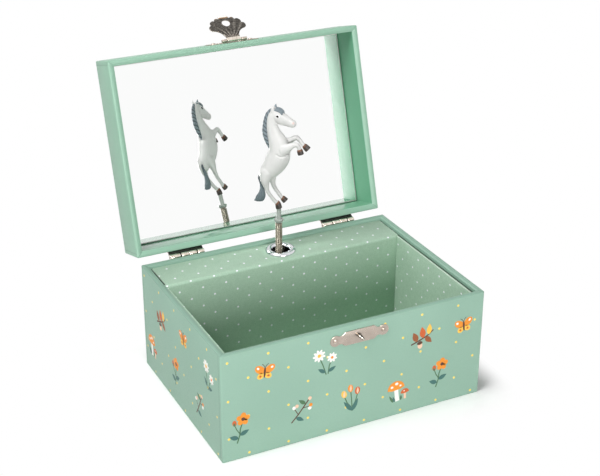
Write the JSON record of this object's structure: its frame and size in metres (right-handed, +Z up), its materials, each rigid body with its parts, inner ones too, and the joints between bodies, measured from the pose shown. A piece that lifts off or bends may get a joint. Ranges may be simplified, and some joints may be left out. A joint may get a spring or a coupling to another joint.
{
  "type": "musical jewellery box",
  "caption": "Paper-covered musical jewellery box with hinged mirror lid, hasp, lined tray and a rearing horse on a spring stem turned by a wind-up comb movement.",
  "frame": {"origin": "centre of the box's underside", "axes": "+Z up, -Y to the front with the catch, +X to the right"},
  "size_m": [0.18, 0.2049, 0.2097],
  "materials": {
    "covered_board": "mint printed paper over board",
    "dotted_card": "sage green paper with white dots on card",
    "mirror_glass": "silvered glass",
    "chrome": "bright chrome",
    "nickel": "nickel plated sheet",
    "spring_steel": "polished wire and strip",
    "brass": "turned brass",
    "zinc_casting": "die-cast zinc, as cast",
    "nylon": "natural nylon",
    "grey_plastic": "translucent grey",
    "horse_plastic": "white moulding with painted mane, tail and hooves"
  },
  "bodies": {
    "box": {"front_panel": "covered_board", "back_panel": "covered_board", "left_panel": "covered_board", "right_panel": "covered_board", "base_panel": "covered_board", "deck_and_partition": "dotted_card", "tray_floor": "dotted_card", "side_liner_left": "dotted_card", "side_liner_right": "dotted_card", "front_liner": "dotted_card", "grommet": "chrome", "grommet_washer": "chrome", "hinge_box_leaves": "nickel", "hinge_pins": "nickel", "hinge_box_nails": "nickel", "catch_plate": "nickel", "catch_staple": "nickel", "catch_tacks": "nickel", "bedplate_screws": "nickel", "comb": "spring_steel", "comb_screws": "spring_steel", "bridge_screws": "spring_steel", "governor_screws": "spring_steel", "bridge_pillars": "brass", "bedplate": "zinc_casting", "barrel_bridge": "zinc_casting", "governor_frame": "zinc_casting"},
    "lid": {"lid_front_rail": "covered_board", "lid_back_rail": "covered_board", "lid_left_rail": "covered_board", "lid_right_rail": "covered_board", "lid_top_panel": "covered_board", "mirror": "mirror_glass", "hinge_lid_leaves": "nickel", "hinge_lid_nails": "nickel", "hasp_base_plate": "nickel", "hasp_pin": "nickel", "hasp_tacks": "nickel"},
    "hasp": {"hasp_flap": "nickel"},
    "stem": {"spring_stem": "spring_steel"},
    "figure": {"figure_peg": "grey_plastic", "horse_figure": "horse_plastic"},
    "cylinder": {"cylinder_arbor": "spring_steel", "cylinder_pinion": "brass", "cylinder_wheel": "brass", "pinned_cylinder": "brass"},
    "barrel": {"spring_barrel": "brass", "barrel_cover": "brass", "mainspring": "spring_steel"},
    "governor": {"governor_wheel": "brass"},
    "worm": {"worm_shaft": "spring_steel", "fan": "nylon"},
    "winding": {"winding_arbor": "spring_steel", "winding_key": "nickel"}
  },
  "joints": [
    {"name": "lid_hinge", "type": "hinge", "parent": "box", "child": "lid", "pos_m": [0, 0.0683, 0.0723], "axis": [1, 0, 0], "range_deg": [0, 106.7]},
    {"name": "hasp_swing", "type": "hinge", "parent": "lid", "child": "hasp", "pos_m": [0.001, 0.11472, 0.19885], "axis": [1, 0, 0], "range_deg": [-25, 135]},
    {"name": "figure_fold", "type": "hinge", "parent": "box", "child": "stem", "pos_m": [0.0015, 0.0484, 0.0795], "axis": [1, 0, 0], "range_deg": [0, 101.36], "deforming": ["spring_stem"]},
    {"name": "figure_spin", "type": "hinge", "parent": "stem", "child": "figure", "pos_m": [0.0015, 0.0484, 0.0965], "axis": [0, 0, 1], "continuous": true},
    {"name": "cylinder_spin", "type": "hinge", "parent": "box", "child": "cylinder", "pos_m": [0.0015, 0.0484, 0.047], "axis": [0, 0, 1], "continuous": true},
    {"name": "barrel_spin", "type": "hinge", "parent": "box", "child": "barrel", "pos_m": [0.0015, 0.055, 0.026], "axis": [0, 1, 0], "continuous": true},
    {"name": "governor_spin", "type": "hinge", "parent": "box", "child": "governor", "pos_m": [0.01087, 0.0484, 0.06], "axis": [0, 0, 1], "continuous": true},
    {"name": "worm_spin", "type": "hinge", "parent": "box", "child": "worm", "pos_m": [0.01477, 0.0484, 0.06], "axis": [0, 1, 0], "continuous": true},
    {"name": "key_wind", "type": "hinge", "parent": "box", "child": "winding", "pos_m": [0.0015, 0.0645, 0.026], "axis": [0, 1, 0], "range_deg": [0, 1800]}
  ],
  "couplings": [
    {"joint": "figure_fold", "follows": "lid_hinge", "ratio": 0.95},
    {"joint": "figure_spin", "follows": "cylinder_spin", "ratio": 1},
    {"joint": "barrel_spin", "follows": "cylinder_spin", "ratio": -0.33333},
    {"joint": "governor_spin", "follows": "cylinder_spin", "ratio": -4},
    {"joint": "worm_spin", "follows": "cylinder_spin", "ratio": 48}
  ]
}
